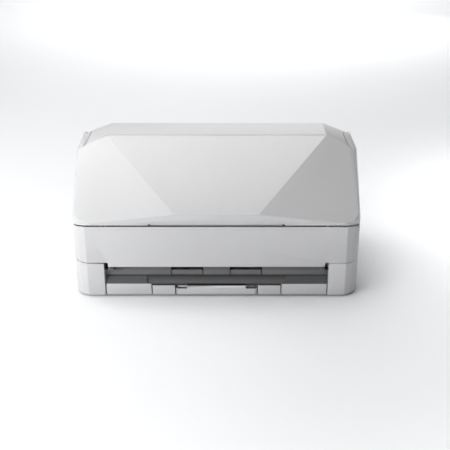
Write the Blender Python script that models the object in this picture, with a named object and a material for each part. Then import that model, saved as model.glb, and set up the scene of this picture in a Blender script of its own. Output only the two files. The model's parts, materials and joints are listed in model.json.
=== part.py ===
"""Sheet fed document scanner, an assembly of separate parts.

Frame: metres, +X to the machine's left side seen from the front's right, -Y to the front,
+Z up, origin under the middle of the bounding box on the table.  Lengths in the constants
are millimetres and are scaled by MM when a mesh is made.
"""
import math

import bmesh
import bpy
from mathutils import Matrix, Vector

MM = 0.001

# ---------------------------------------------------------------- driving dimensions (mm)
HALF_W = 146.0            # half width of the body
FRONT = -73.5             # front plane of the body
LIP = -80.5               # foremost edge of the hood
BACK = 80.5               # rear wall
TOP = 152.0               # flat top
CASE_BOTTOM = 2.0         # underside of the lower case, on the feet
CASE_TOP = 38.0           # seam over the lower case
SLOT_HALF = 113.7         # half width between the front pillars
GAP = 0.4                 # gap between neighbouring housings
WALL = 3.0                # housing wall
RIDGE_Y = -6.0            # ridge between hood slope and top
RIDGE_HALF = 113.0        # half length of the ridge
CREASE = (41.3, LIP, 94.5)        # lower end of the crease between the hood facets
HOOD_Z = 80.0             # lower edge of the hood at the front
SEAM_FALL = 0.264         # fall of the hood seam round the front corners
COVER_END_Y = -50.0       # where the front cover ends on the sides
HOOD_AXIS = (50.0, 121.0)         # hood hinge axis (y, z)
KNUCKLE_R = 16.0          # round hinge knuckle of the hood
TRAY_SLOPE = math.radians(22.0)   # slope of the feed tray inside the closed hood
TRAY_P = 13.0             # distance from the hinge axis to the tray face
HOOD_OPEN = 140.0         # degrees
COVER_AXIS = (-71.0, 31.0)        # front cover hinge axis (y, z)
PICK = (53.8, 78.9)       # pick roller axis (y, z)
FEED = (29.6, 51.6)       # feed roller axis
EJECT = (-61.0, 21.8)     # eject roller axis
GEAR_M = 1.0              # gear module
GUIDE_X = 54.0            # face of each paper guide from the middle, at rest
MARK_HALF = 67.5          # half width of the chute extension's grip
EXT1_HALF = 66.0          # stacker extension, outer
EXT2_HALF = 42.0          # stacker extension, inner

# centre line of the paper through the machine (y, z)
PATH = [(61.0, 116.5), (56.5, 107.0), (49.5, 94.0), (39.0, 76.5), (24.0, 60.0), (4.0, 48.0),
        (-20.0, 39.5), (-45.0, 32.5), (-60.0, 29.0), (-76.0, 26.0)]

for stale in list(bpy.data.objects):
    bpy.data.objects.remove(stale, do_unlink=True)

# ---------------------------------------------------------------- materials
MATS = {}


def material(name, rgb, rough, metal=0.0):
    mat = bpy.data.materials.new(name)
    mat.use_nodes = True
    node = mat.node_tree.nodes["Principled BSDF"]
    node.inputs["Base Color"].default_value = (*rgb, 1.0)
    node.inputs["Roughness"].default_value = rough
    node.inputs["Metallic"].default_value = metal
    mat.diffuse_color = (*rgb, 1.0)
    MATS[name] = mat
    return mat


PALETTE = {
    "white": ((0.80, 0.80, 0.82), 0.38, 0.0),
    "pale": ((0.70, 0.70, 0.72), 0.45, 0.0),
    "grey": ((0.30, 0.30, 0.31), 0.55, 0.0),
    "dark": ((0.045, 0.045, 0.05), 0.5, 0.0),
    "rubber": ((0.03, 0.03, 0.032), 0.85, 0.0),
    "roller": ((0.16, 0.16, 0.17), 0.8, 0.0),
    "steel": ((0.62, 0.63, 0.65), 0.3, 1.0),
    "zinc": ((0.52, 0.53, 0.55), 0.45, 1.0),
    "glass": ((0.03, 0.035, 0.045), 0.08, 0.0),
    "gear": ((0.82, 0.80, 0.72), 0.5, 0.0),
    "board": ((0.03, 0.20, 0.08), 0.55, 0.0),
    "belt": ((0.025, 0.025, 0.028), 0.75, 0.0),
}


def mat_for(node, kind):
    rgb, rough, metal = PALETTE[kind]
    return material(node + "_mat", rgb, rough, metal)


# ---------------------------------------------------------------- mesh helpers
def from_bm(name, bm):
    bmesh.ops.recalc_face_normals(bm, faces=bm.faces)
    mesh = bpy.data.meshes.new(name)
    bm.to_mesh(mesh)
    bm.free()
    obj = bpy.data.objects.new(name, mesh)
    bpy.context.scene.collection.objects.link(obj)
    return obj


def place(axis, p, t):
    """2D profile point p at distance t along axis, in metres."""
    if axis == "X":
        return Vector((t, p[0], p[1])) * MM
    if axis == "Y":
        return Vector((p[0], t, p[1])) * MM
    return Vector((p[0], p[1], t)) * MM


def prism(name, axis, poly, a, b):
    """Closed prism of a flat profile between a and b along the axis."""
    bm = bmesh.new()
    low = [bm.verts.new(place(axis, p, a)) for p in poly]
    high = [bm.verts.new(place(axis, p, b)) for p in poly]
    n = len(poly)
    bm.faces.new(low)
    bm.faces.new(list(reversed(high)))
    for i in range(n):
        j = (i + 1) % n
        bm.faces.new((low[i], low[j], high[j], high[i]))
    return from_bm(name, bm)


def box(name, x0, x1, y0, y1, z0, z1):
    return prism(name, "Z", [(x0, y0), (x1, y0), (x1, y1), (x0, y1)], z0, z1)


def circle(c, r, n, turn=0.0):
    return [(c[0] + r * math.cos(turn + 2 * math.pi * i / n),
             c[1] + r * math.sin(turn + 2 * math.pi * i / n)) for i in range(n)]


def rod(name, axis, c, r, a, b, n=16):
    return prism(name, axis, circle(c, r, n, math.pi / n), a, b)


def boolean(obj, other, op, solver="EXACT"):
    mod = obj.modifiers.new("step", "BOOLEAN")
    mod.operation = op
    mod.object = other
    mod.solver = solver
    graph = bpy.context.evaluated_depsgraph_get()
    mesh = bpy.data.meshes.new_from_object(obj.evaluated_get(graph))
    obj.modifiers.clear()
    old = obj.data
    obj.data = mesh
    bpy.data.meshes.remove(old)
    bpy.data.objects.remove(other, do_unlink=True)
    return obj


def cut(obj, *others):
    for other in others:
        boolean(obj, other, "DIFFERENCE")
    return obj


def add(obj, *others):
    for other in others:
        boolean(obj, other, "UNION")
    return obj


def meet(obj, other):
    return boolean(obj, other, "INTERSECT")


def finish(obj, name, kind, origin=None, smooth=False):
    """Name, material, and origin of a finished node."""
    bm = bmesh.new()
    bm.from_mesh(obj.data)
    bmesh.ops.remove_doubles(bm, verts=bm.verts, dist=1e-6)
    bmesh.ops.dissolve_limit(bm, angle_limit=math.radians(0.2), verts=bm.verts, edges=bm.edges)
    bmesh.ops.recalc_face_normals(bm, faces=bm.faces)
    bm.to_mesh(obj.data)
    bm.free()
    obj.name = name
    obj.data.name = name
    obj.data.materials.clear()
    obj.data.materials.append(mat_for(name, kind))
    if origin is not None:
        o = Vector(origin) * MM
        obj.data.transform(Matrix.Translation(-o))
        obj.location = o
    for poly in obj.data.polygons:
        poly.use_smooth = smooth
    if smooth:
        obj.data.set_sharp_from_angle(angle=math.radians(35))
    return obj


def convex(name, planes, size=400.0):
    """Solid inside all planes; each plane is (point, outward normal)."""
    bm = bmesh.new()
    bmesh.ops.create_cube(bm, size=size * MM)
    for point, normal in planes:
        geom = list(bm.verts) + list(bm.edges) + list(bm.faces)
        res = bmesh.ops.bisect_plane(bm, geom=geom, dist=1e-7, plane_co=Vector(point) * MM,
                                     plane_no=Vector(normal), clear_outer=True)
        edges = [e for e in res["geom_cut"] if isinstance(e, bmesh.types.BMEdge)]
        if edges:
            bmesh.ops.edgeloop_fill(bm, edges=edges)
    return from_bm(name, bm)


def plane3(a, b, c, outward):
    """Plane through three points with its normal on the side of outward."""
    a, b, c = Vector(a), Vector(b), Vector(c)
    n = (b - a).cross(c - a).normalized()
    if n.dot(Vector(outward)) < 0:
        n = -n
    return (tuple(a), tuple(n))


def both(plane):
    """The plane and its mirror image."""
    p, n = plane
    return [plane, ((-p[0], p[1], p[2]), (-n[0], n[1], n[2]))]


def inset(planes, t):
    return [(tuple(Vector(p) - Vector(n) * t), n) for p, n in planes]


# slope frame of the hood's feed tray: s runs from the hinge towards the lip, p is height
# over the hinge axis, square to the tray
SD = (-math.cos(TRAY_SLOPE), -math.sin(TRAY_SLOPE))
PN = (-math.sin(TRAY_SLOPE), math.cos(TRAY_SLOPE))


def tray(s, p):
    return (HOOD_AXIS[0] + SD[0] * s + PN[0] * p, HOOD_AXIS[1] + SD[1] * s + PN[1] * p)


def tray_box(name, s0, s1, p0, p1, x0, x1):
    return prism(name, "X", [tray(s0, p0), tray(s1, p0), tray(s1, p1), tray(s0, p1)], x0, x1)


def tray_s_at_y(y, p):
    return (HOOD_AXIS[0] + PN[0] * p - y) / -SD[0]


def hood_seam(y):
    """Height of the hood's lower edge at the front part of the sides."""
    return HOOD_Z - (y - FRONT) * SEAM_FALL


def offset_path(d, i0=0, i1=None):
    """Paper centre line moved by d; positive is in front of and above the paper."""
    pts = PATH[i0:i1]
    out = []
    for i, p in enumerate(pts):
        a = pts[max(i - 1, 0)]
        b = pts[min(i + 1, len(pts) - 1)]
        t = Vector((b[0] - a[0], b[1] - a[1])).normalized()
        out.append((p[0] + t.y * d, p[1] - t.x * d))
    return out


def path_z(y, d=0.0):
    pts = offset_path(d)
    for (y0, z0), (y1, z1) in zip(pts, pts[1:]):
        if y1 <= y <= y0:
            return z0 + (z1 - z0) * (y0 - y) / (y0 - y1)
    return pts[-1][1]


def gear_profile(c, teeth, turn=0.0, slack=0.16):
    """Gear outline with straight flanks, thinned by the slack."""
    r = GEAR_M * teeth / 2
    ro, rf = r + 0.85 * GEAR_M, r - 1.15 * GEAR_M
    pitch = 2 * math.pi / teeth
    half_root = 0.5 * (math.pi * GEAR_M / 2 - slack) / r + 0.42 / r
    half_tip = 0.5 * (math.pi * GEAR_M / 2 - slack) / r - 0.40 / r
    pts = []
    for i in range(teeth):
        mid = turn + i * pitch
        for rad, off in ((rf, -half_root), (ro, -half_tip), (ro, half_tip), (rf, half_root)):
            pts.append((c[0] + rad * math.cos(mid + off), c[1] + rad * math.sin(mid + off)))
    return pts


def gear(name, c, teeth, a, b, turn=0.0, bore=0.0):
    obj = prism(name, "X", gear_profile(c, teeth, turn), a, b)
    if bore:
        cut(obj, rod("bore", "X", c, bore, a - 1, b + 1, 12))
    return obj


def mesh_turn(c_from, teeth_from, turn_from, c_to, teeth_to):
    """Turn of the second gear so that its gap meets the first gear's tooth."""
    ang = math.atan2(c_to[1] - c_from[1], c_to[0] - c_from[0])
    phase = ((ang - turn_from) / (2 * math.pi / teeth_from)) % 1.0
    return ang + math.pi + (phase - 0.5) * (2 * math.pi / teeth_to)


# ---------------------------------------------------------------- outlines
def plan_outline(t=0.0, rear=BACK):
    """Half outline in plan (x > 0), front middle to rear middle, moved in by t."""
    pts = [(0.0, FRONT), (131.0, FRONT), (138.0, -70.0), (143.8, -62.5), (HALF_W, -52.0),
           (HALF_W, 62.0), (141.0, 75.0), (131.0, rear), (0.0, rear)]
    if not t:
        return pts
    out = []
    for i, p in enumerate(pts):
        if i in (0, len(pts) - 1):
            out.append((0.0, p[1] + (t if i == 0 else -t)))
            continue
        a = (Vector(p) - Vector(pts[i - 1])).normalized()
        b = (Vector(pts[i + 1]) - Vector(p)).normalized()
        na, nb = Vector((-a.y, a.x)), Vector((-b.y, b.x))
        m = (na + nb).normalized()
        k = t / max(m.dot(na), 0.2)
        out.append((p[0] + m.x * k, p[1] + m.y * k))
    return out


def full_outline(t=0.0):
    half = plan_outline(t)
    return half + [(-x, y) for x, y in reversed(half[1:-1])]


FACET = plane3((RIDGE_HALF, RIDGE_Y, TOP), CREASE,
               (131.7, FRONT - (82.2 - HOOD_Z) * 7.0 / 14.5, 82.2), (0.2, -1, 1))
WEDGE = ((0, LIP, CREASE[2]), tuple(Vector((0, -(CREASE[2] - HOOD_Z), LIP - FRONT)).normalized()))
CENTRE = plane3((0, RIDGE_Y, TOP), (RIDGE_HALF, RIDGE_Y, TOP), (0, LIP, CREASE[2]), (0, -1, 1))
REAR = ((0, 36.0, TOP), tuple(Vector((0, 18.0, 7.5)).normalized()))


def hood_planes():
    outer = [((0, 0, TOP), (0, 0, 1)), CENTRE, WEDGE, REAR]
    outer += both(FACET)
    outer += both(plane3((142.2, -13.6, 138.4), (141.8, -63.8, 89.5), (HALF_W, -35.0, 98.0), (1, 0, 0.3)))
    outer += both(plane3((RIDGE_HALF, 0, TOP), (RIDGE_HALF, 30, TOP), (134.0, 0, 143.0), (0.4, 0, 1)))
    outer += both(plane3((134.0, 0, 143.0), (134.0, 30, 143.0), (142.3, 0, 138.4), (0.5, 0, 1)))
    outer += both(plane3((142.3, 0, 138.4), (142.3, 30, 138.4), (HALF_W, 0, 135.0), (0.7, 0, 1)))
    outer += both(((HALF_W, 0, 0), (1, 0, 0)))
    pts = plan_outline()
    for a, b in zip(pts[1:4], pts[2:5]):
        outer += both(plane3((a[0], a[1], 0), (b[0], b[1], 0), (a[0], a[1], 50), (1, -1, 0)))
    return outer


def seam_line_slope():
    """Slope of the side seam, tangent to the hinge knuckle."""
    y0, z0 = COVER_END_Y, hood_seam(COVER_END_Y)
    dy, dz = HOOD_AXIS[0] - y0, HOOD_AXIS[1] - z0
    ang = math.atan2(dz, dy) - math.asin(KNUCKLE_R / math.hypot(dy, dz))
    return math.tan(ang), ang


SEAM_TAN, SEAM_ANG = seam_line_slope()


def hood_bottom():
    """The two lower planes of the hood's sides."""
    front = Vector((0, -SEAM_FALL, -1)).normalized()
    side = Vector((0, SEAM_TAN, -1)).normalized()
    return [((0, FRONT, HOOD_Z), tuple(front)),
            ((0, COVER_END_Y, hood_seam(COVER_END_Y)), tuple(side))]


# ================================================================ HOOD (hinged at the rear)
hinge_origin = (0, *HOOD_AXIS)

outer = convex("hood", hood_planes() + hood_bottom())
inner = convex("hood_in", inset(hood_planes(), WALL))
hood = cut(outer, inner)
for side in (-1, 1):
    a, b = sorted((side * (HALF_W - WALL), side * HALF_W))
    add(hood, rod("knuckle", "X", HOOD_AXIS, KNUCKLE_R, a, b, 32))
# opening for the top panel: behind the ridge, between the slits
SLIT = 134.6
panel_zone = [(-SLIT - 0.9, -10.6), (-RIDGE_HALF, RIDGE_Y), (RIDGE_HALF, RIDGE_Y), (SLIT + 0.9, -10.6),
              (SLIT + 0.9, 70.0), (-SLIT - 0.9, 70.0)]
cut(hood, prism("zone", "Z", panel_zone, 100.0, 160.0))
# notch for the grip of the chute extension
grip_top = TRAY_P - 0.1
cut(hood, prism("notch", "X", [(-90, 70), (-60, 70), tray(tray_s_at_y(-60, grip_top), grip_top),
                               tray(tray_s_at_y(-90, grip_top), grip_top)], -MARK_HALF - 0.4, MARK_HALF + 0.4))
cut(hood, rod("pin_hole", "X", HOOD_AXIS, 4.3, -150, 150, 16))
finish(hood, "hood_shell", "white", hinge_origin)

panel = cut(convex("panel", hood_planes() + [((0, 0, 100), (0, 0, -1))]),
            convex("panel_in", inset(hood_planes(), 2.6)))
panel_keep = [(-SLIT, -10.2), (-RIDGE_HALF, RIDGE_Y + 0.4), (RIDGE_HALF, RIDGE_Y + 0.4), (SLIT, -10.2),
              (SLIT, 70.0), (-SLIT, 70.0)]
meet(panel, prism("keep", "Z", panel_keep, 90.0, 160.0))
cut(panel, prism("trim", "X", [tray(-40, -60), tray(160, -60), tray(160, TRAY_P + 0.3), tray(-40, TRAY_P + 0.3)],
                 -150, 150))
finish(panel, "hood_top_panel", "white", hinge_origin)

# feed tray plate inside the hood, with the slots of the side guides
S_END = 6.5                                   # feed end of the tray, from the hinge
S_LIP = tray_s_at_y(-69.2, TRAY_P + 2)
S_GUIDE = 26.0                                # line of the side guides' slot
plate = tray_box("plate", S_END, S_LIP, TRAY_P, TRAY_P + 2, -142.5, 142.5)
meet(plate, convex("in_hood", inset(hood_planes(), WALL + 0.3)))
for side in (-1, 1):
    a, b = sorted((side * 26, side * 122))
    cut(plate, tray_box("slot", S_GUIDE - 3.2, S_GUIDE + 3.2, TRAY_P - 1, TRAY_P + 3, a, b))
cut(plate, prism("pinion_pin_hole", "X", [tray(S_GUIDE - 2.2, TRAY_P - 1), tray(S_GUIDE + 2.2, TRAY_P - 1),
                                          tray(S_GUIDE + 2.2, TRAY_P + 3), tray(S_GUIDE - 2.2, TRAY_P + 3)], -2.2, 2.2))
finish(plate, "chute_plate", "grey", hinge_origin)


def slope_rod(name, x, s, r, p0, p1, n=16):
    """Rod square to the tray at (x, s)."""
    bm = bmesh.new()
    rings = []
    for p in (p0, p1):
        ring = []
        for i in range(n):
            a = 2 * math.pi * (i + 0.5) / n
            y, z = tray(s + r * math.sin(a), p)
            ring.append(bm.verts.new(Vector((x + r * math.cos(a), y, z)) * MM))
        rings.append(ring)
    bm.faces.new(rings[0])
    bm.faces.new(list(reversed(rings[1])))
    for i in range(n):
        j = (i + 1) % n
        bm.faces.new((rings[0][i], rings[0][j], rings[1][j], rings[1][i]))
    return from_bm(name, bm)


def slope_prism(name, poly, p0, p1):
    """Prism of a profile in (x, s), square to the tray."""
    bm = bmesh.new()
    rings = []
    for p in (p0, p1):
        ring = []
        for x, s in poly:
            y, z = tray(s, p)
            ring.append(bm.verts.new(Vector((x, y, z)) * MM))
        rings.append(ring)
    bm.faces.new(rings[0])
    bm.faces.new(list(reversed(rings[1])))
    n = len(poly)
    for i in range(n):
        j = (i + 1) % n
        bm.faces.new((rings[0][i], rings[0][j], rings[1][j], rings[1][i]))
    return from_bm(name, bm)


# pinion and racks of the side guides, on the back of the tray plate
PINION_T = 12
pinion = slope_prism("pinion", gear_profile((0, S_GUIDE), PINION_T, math.pi / 2), TRAY_P + 2.4, TRAY_P + 5.4)
add(pinion, slope_rod("hub", 0, S_GUIDE, 1.8, TRAY_P - 0.2, TRAY_P + 3.0, 12))
finish(pinion, "guide_pinion", "gear", (0, *tray(S_GUIDE, TRAY_P)))


def rack_profile(sign, x0, count, x_arm):
    """Rack outline in (x, s); the teeth look towards the pinion, with a tooth gap at x = 0.
    The plain arm runs on to x_arm."""
    pitch = math.pi * GEAR_M
    line = S_GUIDE + sign * (PINION_T * GEAR_M / 2 + 0.12)
    root, tip, back = line + sign * 1.15, line - sign * 0.8, line + sign * 4.0
    start, end = x0 - 0.5 * pitch, x0 + (count - 0.5) * pitch
    pts = [(min(start, x_arm), back), (min(start, x_arm), root)]
    for i in range(count):
        c = x0 + i * pitch
        pts += [(c - 1.1, root), (c - 0.36, tip), (c + 0.36, tip), (c + 1.1, root)]
    pts += [(max(end, x_arm), root), (max(end, x_arm), back)]
    return pts


def slope_sweep(name, poly, s0, s1):
    """Prism of a profile in (x, p), along the tray."""
    bm = bmesh.new()
    rings = [[bm.verts.new(Vector((x, *tray(s, p))) * MM) for x, p in poly] for s in (s0, s1)]
    bm.faces.new(rings[0])
    bm.faces.new(list(reversed(rings[1])))
    n = len(poly)
    for i in range(n):
        j = (i + 1) % n
        bm.faces.new((rings[0][i], rings[0][j], rings[1][j], rings[1][i]))
    return from_bm(name, bm)


def side_guide(sign):
    """Right (+1) or left (-1) paper guide with its rack."""
    pitch = math.pi * GEAR_M
    first = (0.5 - 18 if sign > 0 else 0.5 - 9) * pitch
    fx = GUIDE_X
    angle = [(fx, TRAY_P - 8.0), (fx + 3.0, TRAY_P - 8.0), (fx + 3.0, TRAY_P - 1.9), (fx + 24.0, TRAY_P - 1.9),
             (fx + 24.0, TRAY_P - 0.3), (fx, TRAY_P - 0.3)]
    body = slope_sweep("guide", [(sign * x, p) for x, p in angle], 7.5, 44.0)
    neck = tray_box("neck", S_GUIDE - 2.8, S_GUIDE + 2.8, TRAY_P - 0.8, TRAY_P + 3.0,
                    *sorted((sign * (fx + 4.5), sign * (fx + 11.5))))
    cap = tray_box("cap", *((S_GUIDE - 3.4, S_GUIDE + 8.8) if sign > 0 else (S_GUIDE - 8.8, S_GUIDE + 3.4)),
                   TRAY_P + 2.4, TRAY_P + 4.5,
                   *sorted((sign * (fx + 4), sign * (fx + 12))))
    rack = slope_prism("rack", rack_profile(sign, first, 27, sign * (fx + 8)), TRAY_P + 2.6, TRAY_P + 4.3)
    add(body, neck, cap, rack)
    return body


g_right = side_guide(1)
finish(g_right, "side_guide_right", "pale", (GUIDE_X, *tray(S_GUIDE, TRAY_P)))
g_left = side_guide(-1)
finish(g_left, "side_guide_left", "pale", (-GUIDE_X, *tray(S_GUIDE, TRAY_P)))

# chute extension: thin plate with a grip that closes the hood's lower edge
ext_p0, ext_p1 = TRAY_P - 1.9, TRAY_P - 0.4
s_grip = tray_s_at_y(-69.5, ext_p1)
ext = tray_box("ext", 48.0, s_grip + 1.5, ext_p0, ext_p1, -58, 58)
y_low, z_low = FRONT, HOOD_Z
p_low = PN[0] * (y_low - HOOD_AXIS[0]) + PN[1] * (z_low - HOOD_AXIS[1])


def wedge_y(z):
    return FRONT - (z - HOOD_Z) * 7.0 / 14.5


grip_zone = prism("grip", "X", [tray(s_grip - 2.5, p_low + 0.2), tray(s_grip + 30, p_low + 0.2),
                                tray(s_grip + 30, ext_p1), tray(s_grip - 2.5, ext_p1)], -MARK_HALF, MARK_HALF)
cut(grip_zone, prism("face", "X", [(wedge_y(60), 60), (wedge_y(110), 110), (-140, 110), (-140, 60)], -90, 90))
add(ext, grip_zone)
finish(ext, "chute_extension", "white", (0, *tray(48.0, ext_p0)))

for name, a, b in (("hood_hinge_pin_left", -145.6, -124.0), ("hood_hinge_pin_right", 124.0, 145.6)):
    finish(rod(name, "X", HOOD_AXIS, 4.0, a, b, 16), name, "steel", hinge_origin, smooth=True)

# ================================================================ LOWER CASE
case = prism("case", "Z", full_outline(), CASE_BOTTOM, CASE_TOP)
pocket = prism("pocket", "Z", full_outline(WALL), CASE_BOTTOM + 2.0, CASE_TOP + 1)
cut(case, pocket)
# bay of the stacker, open to the front
cut(case, box("bay", -SLOT_HALF, SLOT_HALF, -80, -66, -1, 60))
# inner walls and roofs of the front pillars
for side in (-1, 1):
    a, b = sorted((side * SLOT_HALF, side * (SLOT_HALF + 2.5)))
    add(case, box("wall", a, b, FRONT + 0.02, -50.6, CASE_BOTTOM + 0.5, CASE_TOP - 0.01))
    roof = [(side * x, y) for x, y in ((SLOT_HALF + 1, FRONT + 0.5), (130.8, FRONT + 0.5), (137.6, -69.6),
                                       (143.3, -62.2), (145.4, -51.9), (145.4, -51.0), (SLOT_HALF + 1, -51.0))]
    add(case, prism("roof", "Z", roof, CASE_TOP - 2.5, CASE_TOP - 0.005))
    # run of the drive belt and of the eject shaft
    cut(case, rod("shaft_hole", "X", EJECT, 3.4, *sorted((side * 110, side * 120)), 12))
    cut(case, rod("pin_hole", "X", COVER_AXIS, 1.5, *sorted((side * 110, side * 118.5)), 12))
# ventilation slots in the floor, behind the stacker
for i in range(7):
    cut(case, box("vent", -36 + i * 12 - 2, -36 + i * 12 + 2, 64, 75, 0, 8))
finish(case, "lower_case", "white")

for name, x, y in (("foot_front_left", -124, -52), ("foot_front_right", 124, -52),
                   ("foot_rear_left", -124, 64), ("foot_rear_right", 124, 64)):
    finish(rod(name, "Z", (x, y), 8.0, 0.0, CASE_BOTTOM - 0.3, 20), name, "rubber", smooth=True)

# ================================================================ SIDE AND REAR COVERS
LEDGE = [(58.6, 114.6), (64.6, 112.6), (79.4, 105.6), (BACK, 100.0)]


def side_top_profile():
    """Profile (y, z) of the space under the hood's side, with the gap."""
    pts = [(COVER_END_Y - 10, -5), (COVER_END_Y - 10, hood_seam(COVER_END_Y) - GAP - 0.1 - 10 * SEAM_TAN)]
    r = KNUCKLE_R + 0.6
    first = SEAM_ANG - math.pi / 2
    last = math.radians(-29)
    for i in range(9):
        a = first + (last - first) * i / 8
        pts.append((HOOD_AXIS[0] + r * math.cos(a), HOOD_AXIS[1] + r * math.sin(a)))
    pts += [(79.4, 105.6), (BACK + 0.5, 99.5), (BACK + 5, -5)]
    return pts


def side_cover(side):
    po, pi = plan_outline(), plan_outline(WALL)
    start = COVER_END_Y + GAP
    out = [(HALF_W, start), *po[5:7], (131.0, BACK), (125.0, BACK)]
    back = [(125.0, BACK - WALL), pi[7], pi[6], pi[5], (HALF_W - WALL, start)]
    poly = [(side * x, y) for x, y in out + back]
    wall = prism("side", "Z", poly, CASE_TOP + GAP, 130.0)
    return meet(wall, prism("under", "X", side_top_profile(), -200, 200))


right = side_cover(1)
finish(right, "side_cover_right", "white")
left = side_cover(-1)
finish(left, "side_cover_left", "white")

rear_profile = [(BACK, CASE_TOP + GAP), (BACK, 100.0), (79.4, 105.6), (64.6, 112.6), (62.6, 109.9), (77.5, 103.0),
                (BACK - WALL, 99.4), (BACK - WALL, CASE_TOP + GAP)]
rear = prism("rear", "X", rear_profile, -124.6, 124.6)
for i in range(9):
    x = -48 + i * 12
    cut(rear, box("vent", x - 3.5, x + 3.5, BACK - 5, BACK + 1, 66, 90))
cut(rear, box("dc", -96.5, -83.5, BACK - 5, BACK + 1, 43.5, 54.5))
cut(rear, box("usb", -71.0, -58.0, BACK - 5, BACK + 1, 43.5, 55.0))
cut(rear, box("lock", 96.5, 103.5, BACK - 5, BACK + 1, 45.5, 48.5))
finish(rear, "rear_cover", "white")

inlet = box("inlet", -96.0, -84.0, BACK - 12, BACK - 0.6, 44.0, 54.0)
cut(inlet, rod("bore", "Y", (-90.0, 49.0), 3.2, BACK - 10, BACK + 1, 16))
add(inlet, rod("pin", "Y", (-90.0, 49.0), 1.0, BACK - 11, BACK - 2.0, 12))
finish(inlet, "dc_inlet", "dark")
usb = box("usb", -70.5, -58.5, BACK - 15, BACK - 0.6, 44.0, 54.5)
cut(usb, box("mouth", -69.3, -59.7, BACK - 11, BACK + 1, 45.2, 53.3))
add(usb, box("tongue", -67.5, -61.5, BACK - 12, BACK - 2.5, 48.2, 50.4))
finish(usb, "usb_port", "steel")

# ================================================================ INNER FRAMES AND GUIDES
LOWER_IDLER_T, UPPER_IDLER_T, SHAFT_T, MOTOR_T = 18, 12, 24, 12


def toward(c, d, dist):
    v = Vector((d[0] - c[0], d[1] - c[1])).normalized()
    return (c[0] + v.x * dist, c[1] + v.y * dist)


GD = 0.20                                  # play added to each gear distance
UPPER_IDLER = toward(FEED, PICK, GEAR_M * (SHAFT_T + UPPER_IDLER_T) / 2 + GD)
LOWER_IDLER = toward(FEED, (57.4, 28.6), GEAR_M * (SHAFT_T + LOWER_IDLER_T) / 2 + GD)
MOTOR = toward(LOWER_IDLER, (57.4, 28.6), GEAR_M * (LOWER_IDLER_T + MOTOR_T) / 2 + GD)

frame_poly = [(-46.0, 4.6), (74.0, 4.6), (74.0, 100.0), (62.0, 107.0), (59.0, 118.0), (55.0, 126.5), (46.0, 126.5),
              (36.0, 112.0), (-20.0, 84.0), (-46.0, 60.0)]


def side_frame(side):
    a, b = sorted((side * 127.0, side * 129.0))
    obj = prism("frame", "X", frame_poly, a, b)
    for c, r in ((HOOD_AXIS, 4.3), (PICK, 3.4), (FEED, 3.4)):
        cut(obj, rod("hole", "X", c, r, a - 1, b + 1, 12))
    if side < 0:
        for c in (UPPER_IDLER, LOWER_IDLER):
            cut(obj, rod("hole", "X", c, 2.3, a - 1, b + 1, 12))
        cut(obj, rod("hole", "X", MOTOR, 2.8, a - 1, b + 1, 12))
    cut(obj, prism("light", "X", [(-34, 44), (-34, 62), (-12, 76), (10, 76), (10, 62)], a - 1, b + 1))
    return obj


finish(side_frame(1), "side_frame_right", "zinc")
finish(side_frame(-1), "side_frame_left", "zinc")

# rear paper guide: a bent sheet behind the paper, with roller windows
front_side = offset_path(-1.5, 0, 6)
rear_side = offset_path(-3.5, 0, 6)
guide = prism("guide", "X", front_side + list(reversed(rear_side)), -118.0, 118.0)
for x0, x1 in ((-29, -5), (5, 29)):
    cut(guide, box("win", x0, x1, PICK[0] - 16, PICK[0] + 10, PICK[1] - 12, PICK[1] + 12.5))
for x0, x1 in ((-79, -61), (-39, -21), (21, 39), (61, 79)):
    cut(guide, box("win", x0, x1, FEED[0] - 14, FEED[0] + 8, FEED[1] - 9, FEED[1] + 13.0))
cut(guide, box("top", -130, 130, 50, 75, 113.4, 130))
finish(guide, "rear_guide", "grey")

# rear scan unit with its glass, under the paper
U0, U1 = 1.5, -50.0
unit = prism("unit", "X", [(U0, 24.5), (U0, path_z(U0, -4.6)), (-20, path_z(-20, -4.6)), (-45, path_z(-45, -4.6)),
                           (U1, path_z(U1, -4.6)), (U1, 24.5)], -112.0, 112.0)
finish(unit, "scan_unit_rear", "dark")


def strip_under(y0, y1, d0, d1):
    return [(y0, path_z(y0, d0)), (y1, path_z(y1, d0)), (y1, path_z(y1, d1)), (y0, path_z(y0, d1))]


glass = prism("glass", "X", strip_under(-24.0, -44.0, -4.3, -2.0), -110.0, 110.0)
finish(glass, "scan_glass_rear", "glass")
lead_in = prism("lead", "X", strip_under(0.8, -19.6, -4.3, -1.7), -112.0, 112.0)
finish(lead_in, "scan_bridge", "grey")

# exit guide, the wall seen in the paper slot, with two roller recesses
exit_poly = [(-67.6, 16.5), (-67.6, 26.3), (-66.6, 27.2), (-51.0, 28.0), (-51.0, 26.8), (-66.0, 26.1),
             (-66.2, 25.8), (-66.2, 16.5)]
exit_g = prism("exit", "X", exit_poly, -113.2, 113.2)
for x0, x1 in ((-46.5, -13.5), (13.5, 46.5)):
    cut(exit_g, box("recess", x0, x1, -70.0, -53.5, 18.4, 30))
finish(exit_g, "exit_guide", "grey")

# ================================================================ CONTROL DECK
def cover_arc(r, deg):
    a = math.radians(deg)
    return (COVER_AXIS[0] + r * math.cos(a), COVER_AXIS[1] + r * math.sin(a))


deck_top = [tray(tray_s_at_y(-61.0, 10.2), 10.2), tray(62.0, 10.2), tray(60.0, 3.0), tray(10.5, 3.0)]
deck_low = [p for p in offset_path(2.2, 1, 6)] + [(-19.5, path_z(-19.5, 2.2)), (-22.5, path_z(-19.5, 2.2) + 1.0)]
deck_arc = [cover_arc(49.6, d) for d in (26, 40, 54, 66, 78)]
deck_outer = deck_top + deck_low + deck_arc


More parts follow.
